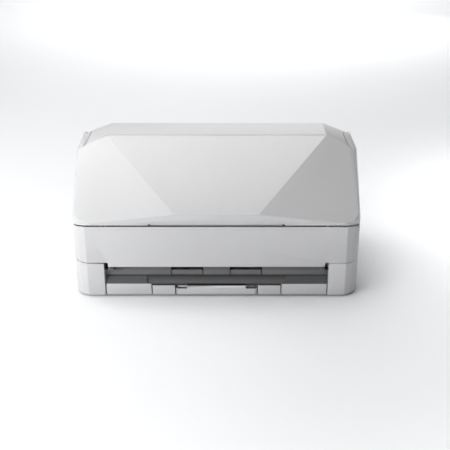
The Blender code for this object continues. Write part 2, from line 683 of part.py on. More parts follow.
def shrink(poly, t):
    """Polygon moved in by t, sharp corners mitred."""
    n = len(poly)
    area = sum(poly[i][0] * poly[(i + 1) % n][1] - poly[(i + 1) % n][0] * poly[i][1] for i in range(n)) / 2
    sgn = 1.0 if area > 0 else -1.0
    out = []
    for i in range(n):
        p = Vector(poly[i])
        a = (p - Vector(poly[i - 1])).normalized()
        b = (Vector(poly[(i + 1) % n]) - p).normalized()
        na, nb = Vector((-a.y, a.x)) * sgn, Vector((-b.y, b.x)) * sgn
        m = (na + nb).normalized()
        k = t / max(m.dot(na), 0.45)
        out.append((p.x + m.x * k, p.y + m.y * k))
    return out


deck = prism("deck", "X", deck_outer, -118.0, 118.0)
cut(deck, prism("deck_in", "X", shrink(deck_outer, 2.0), -120.0, 120.0))
# window of the touch panel
PANEL_X = (16.0, 104.0)
PANEL_S = (65.0, 111.0)
cut(deck, tray_box("panel", PANEL_S[0], PANEL_S[1], 6.0, 14.0, *PANEL_X))
# windows of the brake roller and of the feed idlers
BRAKE = (36.4, 89.4)
IDLER = (20.5, 66.85)
cut(deck, box("brake_win", -29.5, 29.5, BRAKE[0] - 6, BRAKE[0] + 13, BRAKE[1] - 11.5, BRAKE[1] + 11.5))
for x0, x1 in ((-79, -61), (-39, -21), (21, 39), (61, 79)):
    cut(deck, box("win", x0, x1, IDLER[0] - 9, IDLER[0] + 11.5, IDLER[1] - 12, IDLER[1] + 6))
finish(deck, "control_deck", "pale")

bezel = tray_box("bezel", PANEL_S[0] + 0.4, PANEL_S[1] - 0.4, 5.2, 10.2, PANEL_X[0] + 0.4, PANEL_X[1] - 0.4)
cut(bezel, tray_box("well", PANEL_S[0] + 3, PANEL_S[1] - 3, 7.4, 12.0, PANEL_X[0] + 3, PANEL_X[1] - 3))
finish(bezel, "touch_panel_bezel", "dark")
touch = tray_box("touch", PANEL_S[0] + 3.3, PANEL_S[1] - 3.3, 7.7, 9.9, PANEL_X[0] + 3.3, PANEL_X[1] - 3.3)
finish(touch, "touch_panel_glass", "glass")

# ================================================================ ROLLERS AND DRIVE
N_ROLL = 24


def shaft(name, c, r, a, b):
    return finish(rod(name, "X", c, r, a, b, 16), name, "steel", (0, *c), smooth=True)


def rollers(name, c, r, bore, spans, kind="roller", n=N_ROLL):
    """Tyres on one sleeve that sits on a shaft."""
    sleeve = rod(name, "X", c, bore + 0.7, spans[0][0], spans[-1][1], n)
    add(sleeve, *[rod("r", "X", c, r, a, b, n) for a, b in spans])
    cut(sleeve, rod("b", "X", c, bore, spans[0][0] - 1, spans[-1][1] + 1, 12))
    return finish(sleeve, name, kind, (0, *c), smooth=True)


shaft("pick_shaft", PICK, 3.0, -136.0, 131.0)
rollers("pick_roller", PICK, 11.0, 3.3, [(-27, -7), (7, 27)])
shaft("feed_shaft", FEED, 3.0, -136.0, 131.0)
rollers("feed_roller", FEED, 9.4, 3.3, [(-76, -64), (-36, -24), (24, 36), (64, 76)])
shaft("eject_shaft", EJECT, 3.0, -125.0, 118.5)
rollers("eject_roller", EJECT, 5.6, 3.3, [(-44, -34), (-26, -16), (16, 26), (34, 44)], n=20)

shaft("brake_shaft", BRAKE, 2.5, -34.0, 34.0)
rollers("brake_roller", BRAKE, 9.0, 2.8, [(-26, -8), (8, 26)])
shaft("idler_shaft", IDLER, 1.6, -84.0, 84.0)
rollers("idler_roller", IDLER, 7.2, 1.9, [(-76, -64), (-36, -24), (24, 36), (64, 76)], kind="gear", n=16)

G0, G1 = -135.0, -131.0
t_feed = 0.0
pick_turn_u = mesh_turn(FEED, SHAFT_T, t_feed, UPPER_IDLER, UPPER_IDLER_T)
pick_turn = mesh_turn(UPPER_IDLER, UPPER_IDLER_T, pick_turn_u, PICK, SHAFT_T)
low_turn = mesh_turn(FEED, SHAFT_T, t_feed, LOWER_IDLER, LOWER_IDLER_T)
mot_turn = mesh_turn(LOWER_IDLER, LOWER_IDLER_T, low_turn, MOTOR, MOTOR_T)
finish(gear("feed_gear", FEED, SHAFT_T, G0, G1, t_feed, 3.3), "feed_gear", "gear", (0, *FEED))
finish(gear("pick_gear", PICK, SHAFT_T, G0, G1, pick_turn, 3.3), "pick_gear", "gear", (0, *PICK))
finish(gear("idler_gear_upper", UPPER_IDLER, UPPER_IDLER_T, G0, G1, pick_turn_u, 2.3), "idler_gear_upper", "gear",
       (0, *UPPER_IDLER))
finish(gear("idler_gear_lower", LOWER_IDLER, LOWER_IDLER_T, G0, G1, low_turn, 2.3), "idler_gear_lower", "gear",
       (0, *LOWER_IDLER))
pinion_m = gear("motor_pinion", MOTOR, MOTOR_T, G0, G1, mot_turn)
add(pinion_m, rod("stem", "X", MOTOR, 2.4, -132.0, -124.3, 12))
finish(pinion_m, "motor_pinion", "steel", (0, *MOTOR))
for name, c in (("idler_stud_upper", UPPER_IDLER), ("idler_stud_lower", LOWER_IDLER)):
    finish(rod(name, "X", c, 2.0, -136.0, -125.0, 12), name, "steel", smooth=True)
motor = rod("motor", "X", MOTOR, 15.5, -124.0, -98.0, 24)
finish(motor, "drive_motor", "zinc", smooth=True)

# belt from the feed shaft to the eject shaft
PULLEY_R = 7.6


def belt_loop(c0, c1, r):
    """Outline round two equal pulleys."""
    ang = math.atan2(c1[1] - c0[1], c1[0] - c0[0])
    pts = []
    for c, base in ((c0, ang + math.pi / 2), (c1, ang - math.pi / 2)):
        for i in range(9):
            a = base + math.pi * i / 8
            pts.append((c[0] + r * math.cos(a), c[1] + r * math.sin(a)))
    return pts


belt = prism("belt", "X", belt_loop(FEED, EJECT, PULLEY_R + 1.7), -123.0, -119.5)
cut(belt, prism("belt_in", "X", belt_loop(FEED, EJECT, PULLEY_R + 0.4), -124.0, -118.0))
finish(belt, "drive_belt", "belt")
for name, c in (("feed_pulley", FEED), ("eject_pulley", EJECT)):
    wheel = rod(name, "X", c, PULLEY_R, -123.2, -119.3, 20)
    cut(wheel, rod("b", "X", c, 3.3, -130, -110, 12))
    finish(wheel, name, "gear", (0, *c), smooth=True)

board = box("board", 30.0, 112.0, 10.0, 72.0, 26.5, 28.1)
for x, w, y, d, h in ((40, 16, 22, 16, 2.0), (64, 12, 20, 12, 1.6), (84, 9, 40, 14, 1.6), (46, 10, 50, 10, 8.0),
                      (98, 8, 16, 8, 6.0)):
    add(board, box("c", x, x + w, y, y + d, 27.5, 28.1 + h))
finish(board, "main_board", "board")

# ================================================================ FRONT COVER (hinged at its lower edge)
cover_origin = (0, *COVER_AXIS)


def cover_strip(t0, t1):
    po, pi = plan_outline(t0), plan_outline(t1)
    half_o = po[1:4] + [(HALF_W - t0, -52.0 + 0.0), (HALF_W - t0, COVER_END_Y)]
    half_i = pi[1:4] + [(HALF_W - t1, -52.0 + 0.6), (HALF_W - t1, COVER_END_Y)]
    ring = [(-x, y) for x, y in reversed(half_o)] + half_o + list(reversed(half_i)) + [(-x, y) for x, y in half_i]
    return ring


band = prism("band", "Z", cover_strip(0.0, WALL), 34.0, 90.0)
# behind y = -59.5 the top falls faster, so that it swings clear of the hood
top_line = [(-90, 0), (-90, HOOD_Z - GAP - (-90 - FRONT) * SEAM_FALL), (-59.5, hood_seam(-59.5) - GAP - 0.1),
            (-40, hood_seam(-59.5) - GAP - 0.1 - 19.5 * 0.42), (-40, 0)]
meet(band, prism("under_hood", "X", top_line, -200, 200))
for side in (-1, 1):
    a, b = sorted((side * 109.9, side * 160))
    cut(band, box("side_low", a, b, -90, -40, 30, CASE_TOP + 0.6))
# hinge ears
for side in (-1, 1):
    a, b = sorted((side * 104.0, side * 109.8))
    ear = prism("ear", "X", [(-71.6, 40.0), (-72.6, 33.5), *[cover_arc(2.3, d) for d in range(160, 381, 20)],
                             (-69.9, 34.2), (-69.9, 40.0)], a, b)
    add(band, ear)
cut(band, rod("pin_hole", "X", COVER_AXIS, 1.5, -112, 112, 12))
finish(band, "front_cover", "white", cover_origin)

funit_poly = [(-69.6, 36.0), (-69.6, 68.0), (-52.0, 71.0), (-40.0, 61.0), (-31.0, 50.0), (-27.4, 42.0),
              (-29.5, path_z(-29.5, 4.4)), (-45.0, path_z(-45.0, 4.4)), (-57.0, path_z(-57.0, 4.4))]
funit = prism("funit", "X", funit_poly, -112.0, 112.0)
finish(funit, "scan_unit_front", "dark", cover_origin)
fglass = prism("fglass", "X", [(-30.5, path_z(-30.5, 1.9)), (-50.0, path_z(-50.0, 1.9)), (-50.0, path_z(-50.0, 4.0)),
                               (-30.5, path_z(-30.5, 3.9))], -110.0, 110.0)
finish(fglass, "scan_glass_front", "glass", cover_origin)
for name, a, b in (("front_cover_pin_left", -117.5, -104.4), ("front_cover_pin_right", 104.4, 117.5)):
    finish(rod(name, "X", COVER_AXIS, 1.2, a, b, 12), name, "steel", cover_origin, smooth=True)

# ================================================================ STACKER
ST_TOP = 15.0


def stacker_tray():
    y0 = FRONT + 0.0
    body = prism("st", "X", [(y0, 2.6), (y0, ST_TOP), (y0 + 5, ST_TOP + 0.9), (38.0, ST_TOP + 0.9), (38.0, 5.0),
                             (-68.0, 5.0), (-69.0, 2.6)], -113.2, 113.2)
    cut(body, box("c1", -EXT1_HALF - 0.5, EXT1_HALF + 0.5, -90, 34.0, 0, 13.4))
    cut(body, box("c2", -EXT1_HALF - 0.5, EXT1_HALF + 0.5, -90, FRONT + 5.0, 12, 20))
    return body


finish(stacker_tray(), "stacker_tray", "pale", (0, FRONT, 9.0))
e1 = prism("e1", "X", [(FRONT, 2.6), (FRONT, 12.4), (FRONT + 0.8, 13.0), (FRONT + 4.4, 13.0), (32.0, 13.0), (32.0, 4.6),
                       (-68.0, 4.6), (-69.0, 2.6)], -EXT1_HALF, EXT1_HALF)
cut(e1, box("c", -EXT2_HALF - 0.4, EXT2_HALF + 0.4, -90, 28.0, 0, 11.4))
cut(e1, box("c2", -EXT2_HALF - 0.4, EXT2_HALF + 0.4, -90, FRONT + 4.0, 8, 14))
finish(e1, "stacker_extension_1", "pale", (0, FRONT, 8.0))
e2 = prism("e2", "X", [(FRONT, 2.6), (FRONT, 12.6), (FRONT + 3.4, 12.6), (FRONT + 3.4, 11.0), (26.0, 11.0), (26.0, 5.2),
                       (-68.0, 5.2), (-69.0, 2.6)], -EXT2_HALF, EXT2_HALF)
cut(e2, box("under", -EXT2_HALF + 3, EXT2_HALF - 3, -66.0, 45.0, 0, 9.0))
for side in (-1, 1):
    a, b = sorted((side * 40.0, side * 50.0))
    cut(e2, box("step", a, b, -90, FRONT + 1.4, 0, 14))
    a, b = sorted((side * 30.0, side * 50.0))
    cut(e2, box("step2", a, b, -90, FRONT + 3.0, 9.6, 14))
cut(e2, box("finger", -29.4, 29.4, -90, FRONT + 2.4, 11.4, 14))
finish(e2, "stacker_extension_2", "pale", (0, FRONT, 7.0))
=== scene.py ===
import json
import math

import bmesh
import bpy
from mathutils import Matrix, Vector


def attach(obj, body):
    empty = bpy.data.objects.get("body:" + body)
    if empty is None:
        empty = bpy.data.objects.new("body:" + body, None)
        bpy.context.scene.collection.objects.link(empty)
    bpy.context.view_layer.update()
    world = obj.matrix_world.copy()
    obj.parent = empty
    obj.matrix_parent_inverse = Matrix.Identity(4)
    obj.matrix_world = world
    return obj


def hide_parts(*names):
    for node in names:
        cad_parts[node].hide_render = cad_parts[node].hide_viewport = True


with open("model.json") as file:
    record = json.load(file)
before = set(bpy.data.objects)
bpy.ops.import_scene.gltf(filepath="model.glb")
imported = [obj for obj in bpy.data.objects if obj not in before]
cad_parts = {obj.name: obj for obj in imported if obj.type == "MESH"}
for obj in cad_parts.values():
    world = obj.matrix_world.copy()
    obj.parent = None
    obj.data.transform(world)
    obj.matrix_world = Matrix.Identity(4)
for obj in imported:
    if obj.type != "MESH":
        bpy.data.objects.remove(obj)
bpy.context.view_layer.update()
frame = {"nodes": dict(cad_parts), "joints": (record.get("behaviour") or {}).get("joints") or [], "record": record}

scene = bpy.context.scene
scene.view_settings.view_transform = "Standard"
MM = 0.001
NODES = frame["nodes"]
BODY = {n: b for b, ns in frame["record"]["behaviour"]["bodies"].items() for n in ns}
JOINT = {j["name"]: j for j in frame["joints"]}

# ------------------------------------------------------------------ camera
ELEV = math.radians(24.0)
DIST = 0.9206
TARGET = Vector((0.00863, 0.0, 0.04799))
cam_data = bpy.data.cameras.new("camera")
cam = bpy.data.objects.new("camera", cam_data)
scene.collection.objects.link(cam)
cam.location = TARGET + Vector((0, -math.cos(ELEV), math.sin(ELEV))) * DIST
cam.rotation_euler = (math.pi / 2 - ELEV, 0, 0)
cam_data.sensor_width = 36.0
cam_data.lens = 36.0 * 848.58 / 450.0
cam_data.clip_start = 0.05
scene.camera = cam


# ------------------------------------------------------------------ materials
def node_tree(name):
    mat = bpy.data.materials.new(name)
    mat.use_nodes = True
    nt = mat.node_tree
    return mat, nt, nt.nodes["Principled BSDF"]


def link(nt, a, b):
    nt.links.new(a, b)


def noise(nt, scale, detail=3.0, rough=0.55, coord=None):
    n = nt.nodes.new("ShaderNodeTexNoise")
    n.inputs["Scale"].default_value = scale
    n.inputs["Detail"].default_value = detail
    n.inputs["Roughness"].default_value = rough
    link(nt, coord, n.inputs["Vector"])
    return n.outputs["Fac"]


def ranged(nt, value, lo, hi, a=0.3, b=0.7):
    m = nt.nodes.new("ShaderNodeMapRange")
    m.inputs["From Min"].default_value = a
    m.inputs["From Max"].default_value = b
    m.inputs["To Min"].default_value = lo
    m.inputs["To Max"].default_value = hi
    link(nt, value, m.inputs["Value"])
    return m.outputs["Result"]


def mix_rgb(nt, fac, a, b):
    m = nt.nodes.new("ShaderNodeMix")
    m.data_type = "RGBA"
    for sock, val in ((m.inputs["Factor"], fac), (m.inputs["A"], a), (m.inputs["B"], b)):
        if hasattr(val, "is_output"):
            link(nt, val, sock)
        elif isinstance(val, (int, float)):
            sock.default_value = val
        else:
            sock.default_value = (*val, 1.0)
    return m.outputs["Result"]


def coords(nt):
    return nt.nodes.new("ShaderNodeTexCoord").outputs["Object"]


def plastic(name, rgb, rough=0.42, grain=0.25, grain_scale=2600.0, vary=0.02, edge=0.5, spec=0.5, soft=0.0):
    """Moulded plastic: spark-eroded grain, slow colour drift, edges a touch paler; with soft, edges rounded in the
    shading.
    """
    mat, nt, bsdf = node_tree(name)
    co = coords(nt)
    slow = noise(nt, 9.0, 2.0, 0.5, co)
    mid = noise(nt, 140.0, 3.0, 0.6, co)
    dark = tuple(c * (1 - vary) for c in rgb)
    light = tuple(min(c * (1 + vary), 1.0) for c in rgb)
    base = mix_rgb(nt, ranged(nt, slow, 0.0, 1.0), dark, light)
    base = mix_rgb(nt, ranged(nt, mid, 0.0, 0.25), base, tuple(c * (1 - 1.6 * vary) for c in rgb))
    if edge:
        # colour a touch paler along the edges, where the bevel normal turns away from the face normal
        bev = nt.nodes.new("ShaderNodeBevel")
        bev.samples = 3
        bev.inputs["Radius"].default_value = 0.0009
        geo = nt.nodes.new("ShaderNodeNewGeometry")
        dot = nt.nodes.new("ShaderNodeVectorMath")
        dot.operation = "DOT_PRODUCT"
        link(nt, bev.outputs["Normal"], dot.inputs[0])
        link(nt, geo.outputs["Normal"], dot.inputs[1])
        pale_edge = ranged(nt, dot.outputs["Value"], 0.35 * edge, 0.0, 0.86, 0.995)
        base = mix_rgb(nt, pale_edge, base, tuple(min(c * 1.12 + 0.02, 1.0) for c in rgb))
    link(nt, base, bsdf.inputs["Base Color"])
    link(nt, ranged(nt, mid, rough - 0.05, rough + 0.06), bsdf.inputs["Roughness"])
    bsdf.inputs["Specular IOR Level"].default_value = spec
    fine = noise(nt, grain_scale, 2.0, 0.5, co)
    bump = nt.nodes.new("ShaderNodeBump")
    bump.inputs["Strength"].default_value = grain
    bump.inputs["Distance"].default_value = 0.00006
    link(nt, fine, bump.inputs["Height"])
    if soft:
        rim = nt.nodes.new("ShaderNodeBevel")
        rim.samples = 4
        rim.inputs["Radius"].default_value = soft * MM
        link(nt, rim.outputs["Normal"], bump.inputs["Normal"])
    link(nt, bump.outputs["Normal"], bsdf.inputs["Normal"])
    return mat


def metal(name, rgb, rough=0.32, brushed=(1, 1, 60), scale=500.0):
    """Metal with fine drawn lines and slight spots."""
    mat, nt, bsdf = node_tree(name)
    co = coords(nt)
    mp = nt.nodes.new("ShaderNodeMapping")
    mp.inputs["Scale"].default_value = brushed
    link(nt, co, mp.inputs["Vector"])
    lines = noise(nt, scale, 3.0, 0.6, mp.outputs["Vector"])
    spots = noise(nt, 60.0, 4.0, 0.6, co)
    link(nt, mix_rgb(nt, ranged(nt, spots, 0.0, 1.0), tuple(c * 0.88 for c in rgb), rgb), bsdf.inputs["Base Color"])
    bsdf.inputs["Metallic"].default_value = 1.0
    link(nt, ranged(nt, lines, rough - 0.08, rough + 0.14), bsdf.inputs["Roughness"])
    bump = nt.nodes.new("ShaderNodeBump")
    bump.inputs["Strength"].default_value = 0.2
    bump.inputs["Distance"].default_value = 0.00005
    link(nt, lines, bump.inputs["Height"])
    link(nt, bump.outputs["Normal"], bsdf.inputs["Normal"])
    return mat


def rubber(name, rgb, rough=0.8, scale=900.0, grain=0.5):
    mat, nt, bsdf = node_tree(name)
    co = coords(nt)
    a = noise(nt, scale, 4.0, 0.65, co)
    b = noise(nt, 40.0, 3.0, 0.55, co)
    link(nt, mix_rgb(nt, ranged(nt, b, 0.0, 1.0), tuple(c * 0.8 for c in rgb), tuple(c * 1.25 for c in rgb)),
         bsdf.inputs["Base Color"])
    link(nt, ranged(nt, a, rough - 0.08, rough + 0.08), bsdf.inputs["Roughness"])
    bump = nt.nodes.new("ShaderNodeBump")
    bump.inputs["Strength"].default_value = grain
    bump.inputs["Distance"].default_value = 0.00012
    link(nt, a, bump.inputs["Height"])
    link(nt, bump.outputs["Normal"], bsdf.inputs["Normal"])
    return mat


def glassy(name, rgb, rough=0.05):
    """Dark polished glass with faint smears."""
    mat, nt, bsdf = node_tree(name)
    co = coords(nt)
    smear = noise(nt, 26.0, 5.0, 0.6, co)
    link(nt, ranged(nt, smear, rough, rough + 0.07), bsdf.inputs["Roughness"])
    link(nt, mix_rgb(nt, ranged(nt, smear, 0.0, 1.0), rgb, tuple(c * 1.5 for c in rgb)), bsdf.inputs["Base Color"])
    bsdf.inputs["Specular IOR Level"].default_value = 0.6
    bsdf.inputs["Coat Weight"].default_value = 0.4
    bsdf.inputs["Coat Roughness"].default_value = 0.03
    return mat


def pcb(name):
    """Green board with copper tracks under the resist."""
    mat, nt, bsdf = node_tree(name)
    co = coords(nt)
    br = nt.nodes.new("ShaderNodeTexBrick")
    br.inputs["Scale"].default_value = 260.0
    br.inputs["Mortar Size"].default_value = 0.03
    br.inputs["Color1"].default_value = (0.02, 0.15, 0.06, 1)
    br.inputs["Color2"].default_value = (0.025, 0.18, 0.07, 1)
    br.inputs["Mortar"].default_value = (0.06, 0.30, 0.12, 1)
    link(nt, co, br.inputs["Vector"])
    link(nt, br.outputs["Color"], bsdf.inputs["Base Color"])
    link(nt, ranged(nt, noise(nt, 300.0, 3.0, 0.5, co), 0.3, 0.5), bsdf.inputs["Roughness"])
    return mat


WHITE = plastic("white_plastic", (0.64, 0.64, 0.645), 0.46, 0.22, edge=0.5)
WHITE_HOOD = plastic("hood_plastic", (0.645, 0.645, 0.65), 0.42, 0.16, edge=0.5)
PALE = plastic("pale_plastic", (0.60, 0.60, 0.605), 0.46, 0.25, edge=0.6)
WHITE_SOFT = plastic("rear_plastic", (0.64, 0.64, 0.645), 0.46, 0.22, edge=0.5, soft=0.7)
PALE_SOFT = plastic("deck_plastic", (0.60, 0.60, 0.605), 0.46, 0.25, edge=0.6, soft=0.6)
GREY = plastic("grey_plastic", (0.30, 0.30, 0.305), 0.5, 0.35, vary=0.04, soft=0.5)
WALLGREY = plastic("slot_plastic", (0.16, 0.161, 0.164), 0.5, 0.35, vary=0.04)
# painted shade: dark grey on the front cover's hinge ears in the exit slot, standing in for the shade there
EAR_SHADE = plastic("ear_painted_shade", (0.115, 0.116, 0.118), 0.5, 0.35, vary=0.04)
# painted shade: dark grey on the stacker's top, standing in for the shade under the front cover
TRAY_SHADE = plastic("stacker_top_painted_shade", (0.10, 0.101, 0.104), 0.5, 0.35, vary=0.04)
# painted shade: grey for the stacker slope, darkened further towards the exit wall below
SLOPE_SHADE = plastic("stacker_slope_painted_shade", (0.15, 0.151, 0.155), 0.55, 0.35, vary=0.04, edge=0.0)
# dark plastic for the dark parts, also used as painted shade on the grip tops and in the slits of the pull-out
# plate
DARK_AND_SHADE = plastic("dark_plastic_and_painted_shade", (0.04, 0.04, 0.044), 0.42, 0.4, vary=0.08)
# painted shadow: near-black for strips that stand in for the shade in gaps between parts
GAP_SHADE = plastic("gap_painted_shade", (0.012, 0.012, 0.013), 0.75, 0.3, vary=0.1, edge=0.0, spec=0.15)
ACETAL = plastic("acetal", (0.80, 0.78, 0.70), 0.36, 0.12, vary=0.03)
BLACKENED = metal("blackened_steel", (0.03, 0.03, 0.032), 0.5, (80, 1, 1))
STEEL = metal("ground_steel", (0.62, 0.63, 0.65), 0.26, (80, 1, 1))
ZINC = metal("zinc_sheet", (0.52, 0.53, 0.55), 0.4, (1, 1, 30), 240.0)
FOOT = rubber("foot_rubber", (0.03, 0.03, 0.032))
ROLL = rubber("roller_rubber", (0.13, 0.13, 0.14), 0.72, 1400.0, 0.7)
BELT = rubber("belt_rubber", (0.025, 0.025, 0.028), 0.7, 500.0, 0.6)
GLASS = glassy("scan_glass", (0.03, 0.035, 0.045))
TOUCH = glassy("touch_glass", (0.012, 0.013, 0.016), 0.04)
BOARD = pcb("circuit_board")


def paint_shade_by_height(mat, z0, z1, fac):
    """Painted shade: colour darkens with height between z0 and z1 (mm), by fac at most."""
    nt = mat.node_tree
    bsdf = nt.nodes["Principled BSDF"]
    sock = bsdf.inputs["Base Color"].links[0].from_socket
    sep = nt.nodes.new("ShaderNodeSeparateXYZ")
    link(nt, coords(nt), sep.inputs[0])
    k = ranged(nt, sep.outputs["Z"], 0.0, 1.0, z0 * MM, z1 * MM)
    low = mix_rgb(nt, fac, sock, (0.0, 0.0, 0.0))
    link(nt, mix_rgb(nt, k, sock, low), bsdf.inputs["Base Color"])


# painted shade on the stacker slope: darker towards the top, by the exit wall
paint_shade_by_height(SLOPE_SHADE, 15.2, 21.5, 0.72)


def set_mat(obj, mat):
    obj.data.materials.clear()
    obj.data.materials.append(mat)
    return obj


# ------------------------------------------------------------------ pieces
def new_obj(name, bm, mat, body):
    bmesh.ops.recalc_face_normals(bm, faces=bm.faces)
    mesh = bpy.data.meshes.new(name)
    bm.to_mesh(mesh)
    bm.free()
    obj = bpy.data.objects.new(name, mesh)
    scene.collection.objects.link(obj)
    set_mat(obj, mat)
    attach(obj, body)
    return obj


def shift(bm, test, dx=0.0, dy=0.0, dz=0.0):
    """Move the corners that pass the test; all in mm, mirrored about X = 0 where dx is given."""
    for v in bm.verts:
        x, y, z = v.co / MM
        if test(abs(x), y, z):
            v.co += Vector((math.copysign(1.0, x) * dx, dy, dz)) * MM


def rounded(node, width, mat, seg=3, limit=8.0, name=None, edit=None):
    """The CAD part with its edges rounded wherever there is room for the radius, standing for its node."""
    src = NODES[node]
    bm = bmesh.new()
    bm.from_mesh(src.data)
    bmesh.ops.remove_doubles(bm, verts=bm.verts, dist=2e-6)
    bmesh.ops.dissolve_limit(bm, angle_limit=math.radians(0.6), verts=bm.verts, edges=bm.edges)
    if edit:
        edit(bm)
    w = width * MM
    lay = bm.edges.layers.float.new("bevel_weight_edge")
    for e in bm.edges:
        if len(e.link_faces) != 2 or e.calc_face_angle(0.0) < math.radians(limit):
            continue
        near = [o.calc_length() for v in e.verts for o in v.link_edges]
        room = min(near)
        e[lay] = 1.0 if room > 2.4 * w else (0.5 if room > 1.3 * w else 0.0)
    obj = new_obj(name or node + "_shaped", bm, mat, BODY[node])
    for p in obj.data.polygons:
        p.use_smooth = True
    bev = obj.modifiers.new("round", "BEVEL")
    bev.width = w
    bev.segments = seg
    bev.limit_method = "WEIGHT"
    bev.use_clamp_overlap = False
    bev.harden_normals = True
    bev.miter_outer = "MITER_ARC"
    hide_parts(node)
    return obj


def paint(obj, mat, test):
    """Another material on the faces whose middle and normal pass the test (mm); used here for painted shade."""
    obj.data.materials.append(mat)
    k = len(obj.data.materials) - 1
    for p in obj.data.polygons:
        c = p.center / MM
        if test(abs(c.x), c.y, c.z, p.normal):
            p.material_index = k


def lathe(name, profile, centre, mat, body, n=64, slot=None, ribs=0, rib=0.0):
    """Turned piece about an axis along X; profile is (x, r) in mm, closed back to the bore."""
    bm = bmesh.new()
    rings = []
    for x, r in profile:
        ring = []
        for i in range(n):
            a = 2 * math.pi * i / n
            rr = r - (rib if ribs and i % (n // ribs) == 0 else 0.0)
            ring.append(bm.verts.new(Vector((x, centre[0] + rr * math.cos(a), centre[1] + rr * math.sin(a))) * MM))
        rings.append(ring)
    m = len(rings)
    for k in range(m):
        a, b = rings[k], rings[(k + 1) % m]
        for i in range(n):
            j = (i + 1) % n
            bm.faces.new((a[i], a[j], b[j], b[i]))
    obj = new_obj(name, bm, mat, body)
    for p in obj.data.polygons:
        p.use_smooth = True
    obj.data.set_sharp_from_angle(angle=math.radians(40))
    return obj


# outer housings
def hood_edit(bm):
    # the notch over the pull-out plate ends just above the seam
    shift(bm, lambda x, y, z: x < 69 and -74 < y < -70 and z > 83.5 and z < 86, 0, 0.7, -1.3)
    shift(bm, lambda x, y, z: x < 69 and y < -74.9 and z > 83.5 and z < 86, 0, 1.40, -2.9)


def hood_panel_edit(bm):
    # shadow gap along the ridge
    shift(bm, lambda x, y, z: y < -4.9 and y > -5.9, 0, 0.55, 0)
    shift(bm, lambda x, y, z: y < -9.0, 0, 0.4, 0)


def plate_edit(bm):
    shift(bm, lambda x, y, z: y < -75.0 and z > 83, 0, 1.4, -2.9)
    shift(bm, lambda x, y, z: x > 60, -2.0, 0, 0)


def cover_edit(bm):
    # top edge kept lower for the shadow gap under the hood
    shift(bm, lambda x, y, z: y < -67.5 and z > 77.5, 0, 0, -0.9)
    shift(bm, lambda x, y, z: y >= -67.5 and z > 71.0, 0, 0, -0.9)


def exit_edit(bm):
    shift(bm, lambda x, y, z: y < -65.9 and z > 25.5, 0, 0, 2.1)
    shift(bm, lambda x, y, z: z < 17, 0, 0, 0.55)


def tray_edit(bm):
    # joint lines at both ends
    shift(bm, lambda x, y, z: x > 113 and y < -68, -0.6, 0, 0)


def ext1_edit(bm):
    shift(bm, lambda x, y, z: x > 65.5 and y < -68, -0.5, 0, 0)


def ext2_edit(bm):
    shift(bm, lambda x, y, z: x > 41.5 and y < -68, -0.35, 0, 0)
    # pull edge drawn up to the lip of the stacker
    shift(bm, lambda x, y, z: y < -70.0 and z > 12.5 and x < 30.5, 0, 0, 0.4)
    shift(bm, lambda x, y, z: y < -70.9 and 11 < z < 12.5 and x < 30, 0, 0, 1.4)


PIECES = {}
for node, width, mat, slot, edit in (
        ("hood_shell", 0.55, WHITE_HOOD, "white", hood_edit),
        ("hood_top_panel", 0.45, WHITE_HOOD, "white", hood_panel_edit),
        ("front_cover", 0.6, WHITE, "white", cover_edit), ("lower_case", 0.7, WHITE, "white", None),
        ("side_cover_left", 0.7, WHITE, "white", None), ("side_cover_right", 0.7, WHITE, "white", None),
        ("chute_extension", 0.35, WHITE, "white", plate_edit),
        ("stacker_tray", 0.5, PALE, "pale", tray_edit), ("stacker_extension_1", 0.35, PALE, "pale", ext1_edit),
        ("stacker_extension_2", 0.35, PALE, "pale", ext2_edit), ("exit_guide", 0.2, WALLGREY, "grey", exit_edit),
        ("touch_panel_bezel", 0.5, DARK_AND_SHADE, "dark", None),
        ("touch_panel_glass", 0.3, TOUCH, "glass", None),
        ("side_guide_right", 0.25, PALE, "pale", None), ("side_guide_left", 0.25, PALE, "pale", None),
        ("scan_unit_front", 0.8, DARK_AND_SHADE, "dark", None), ("scan_unit_rear", 0.6, DARK_AND_SHADE, "dark", None),
        ("main_board", 0.2, BOARD, "board", None), ("dc_inlet", 0.3, DARK_AND_SHADE, "dark", None),
        ("usb_port", 0.25, STEEL, "steel", None)):
    PIECES[node] = rounded(node, width, mat, edit=edit)

# painted shade: the top of the stacker darkened for the shade under the front cover, the tops of the two grips
# painted dark for the shadow in the gap behind the lip, the front cover's hinge ears in the slot painted dark grey
# for the shade there
paint(PIECES["stacker_tray"], TRAY_SHADE, lambda x, y, z, n: n.z > 0.9 and z > 12)
paint(PIECES["stacker_extension_1"], DARK_AND_SHADE, lambda x, y, z, n: n.z > 0.9 and z > 9)
paint(PIECES["stacker_extension_2"], DARK_AND_SHADE, lambda x, y, z, n: n.z > 0.9 and z > 9)
paint(PIECES["front_cover"], EAR_SHADE, lambda x, y, z, n: z < 33.9 and x > 100 and y > -73.45)

for node, mat in {
        "rear_cover": WHITE_SOFT, "control_deck": PALE_SOFT, "chute_plate": GREY, "rear_guide": GREY, "scan_bridge": GREY, "scan_glass_rear": GLASS, "scan_glass_front": GLASS,
        "side_frame_left": ZINC, "side_frame_right": ZINC, "drive_belt": BELT, "guide_pinion": ACETAL,
        "feed_gear": ACETAL, "pick_gear": ACETAL, "idler_gear_upper": ACETAL, "idler_gear_lower": ACETAL,
        "feed_pulley": ACETAL, "eject_pulley": ACETAL, "motor_pinion": STEEL, "drive_motor": ZINC,
        "idler_stud_upper": STEEL, "idler_stud_lower": STEEL, "hood_hinge_pin_left": STEEL,
        "hood_hinge_pin_right": STEEL, "front_cover_pin_left": BLACKENED, "front_cover_pin_right": BLACKENED,
        "pick_shaft": STEEL, "feed_shaft": STEEL, "eject_shaft": STEEL, "brake_shaft": STEEL,
        "idler_shaft": STEEL, "foot_front_left": FOOT, "foot_front_right": FOOT, "foot_rear_left": FOOT,
        "foot_rear_right": FOOT, "pick_roller": ROLL, "feed_roller": ROLL, "eject_roller": ROLL,
        "brake_roller": ROLL, "idler_roller": ACETAL}.items():
    set_mat(NODES[node], mat)

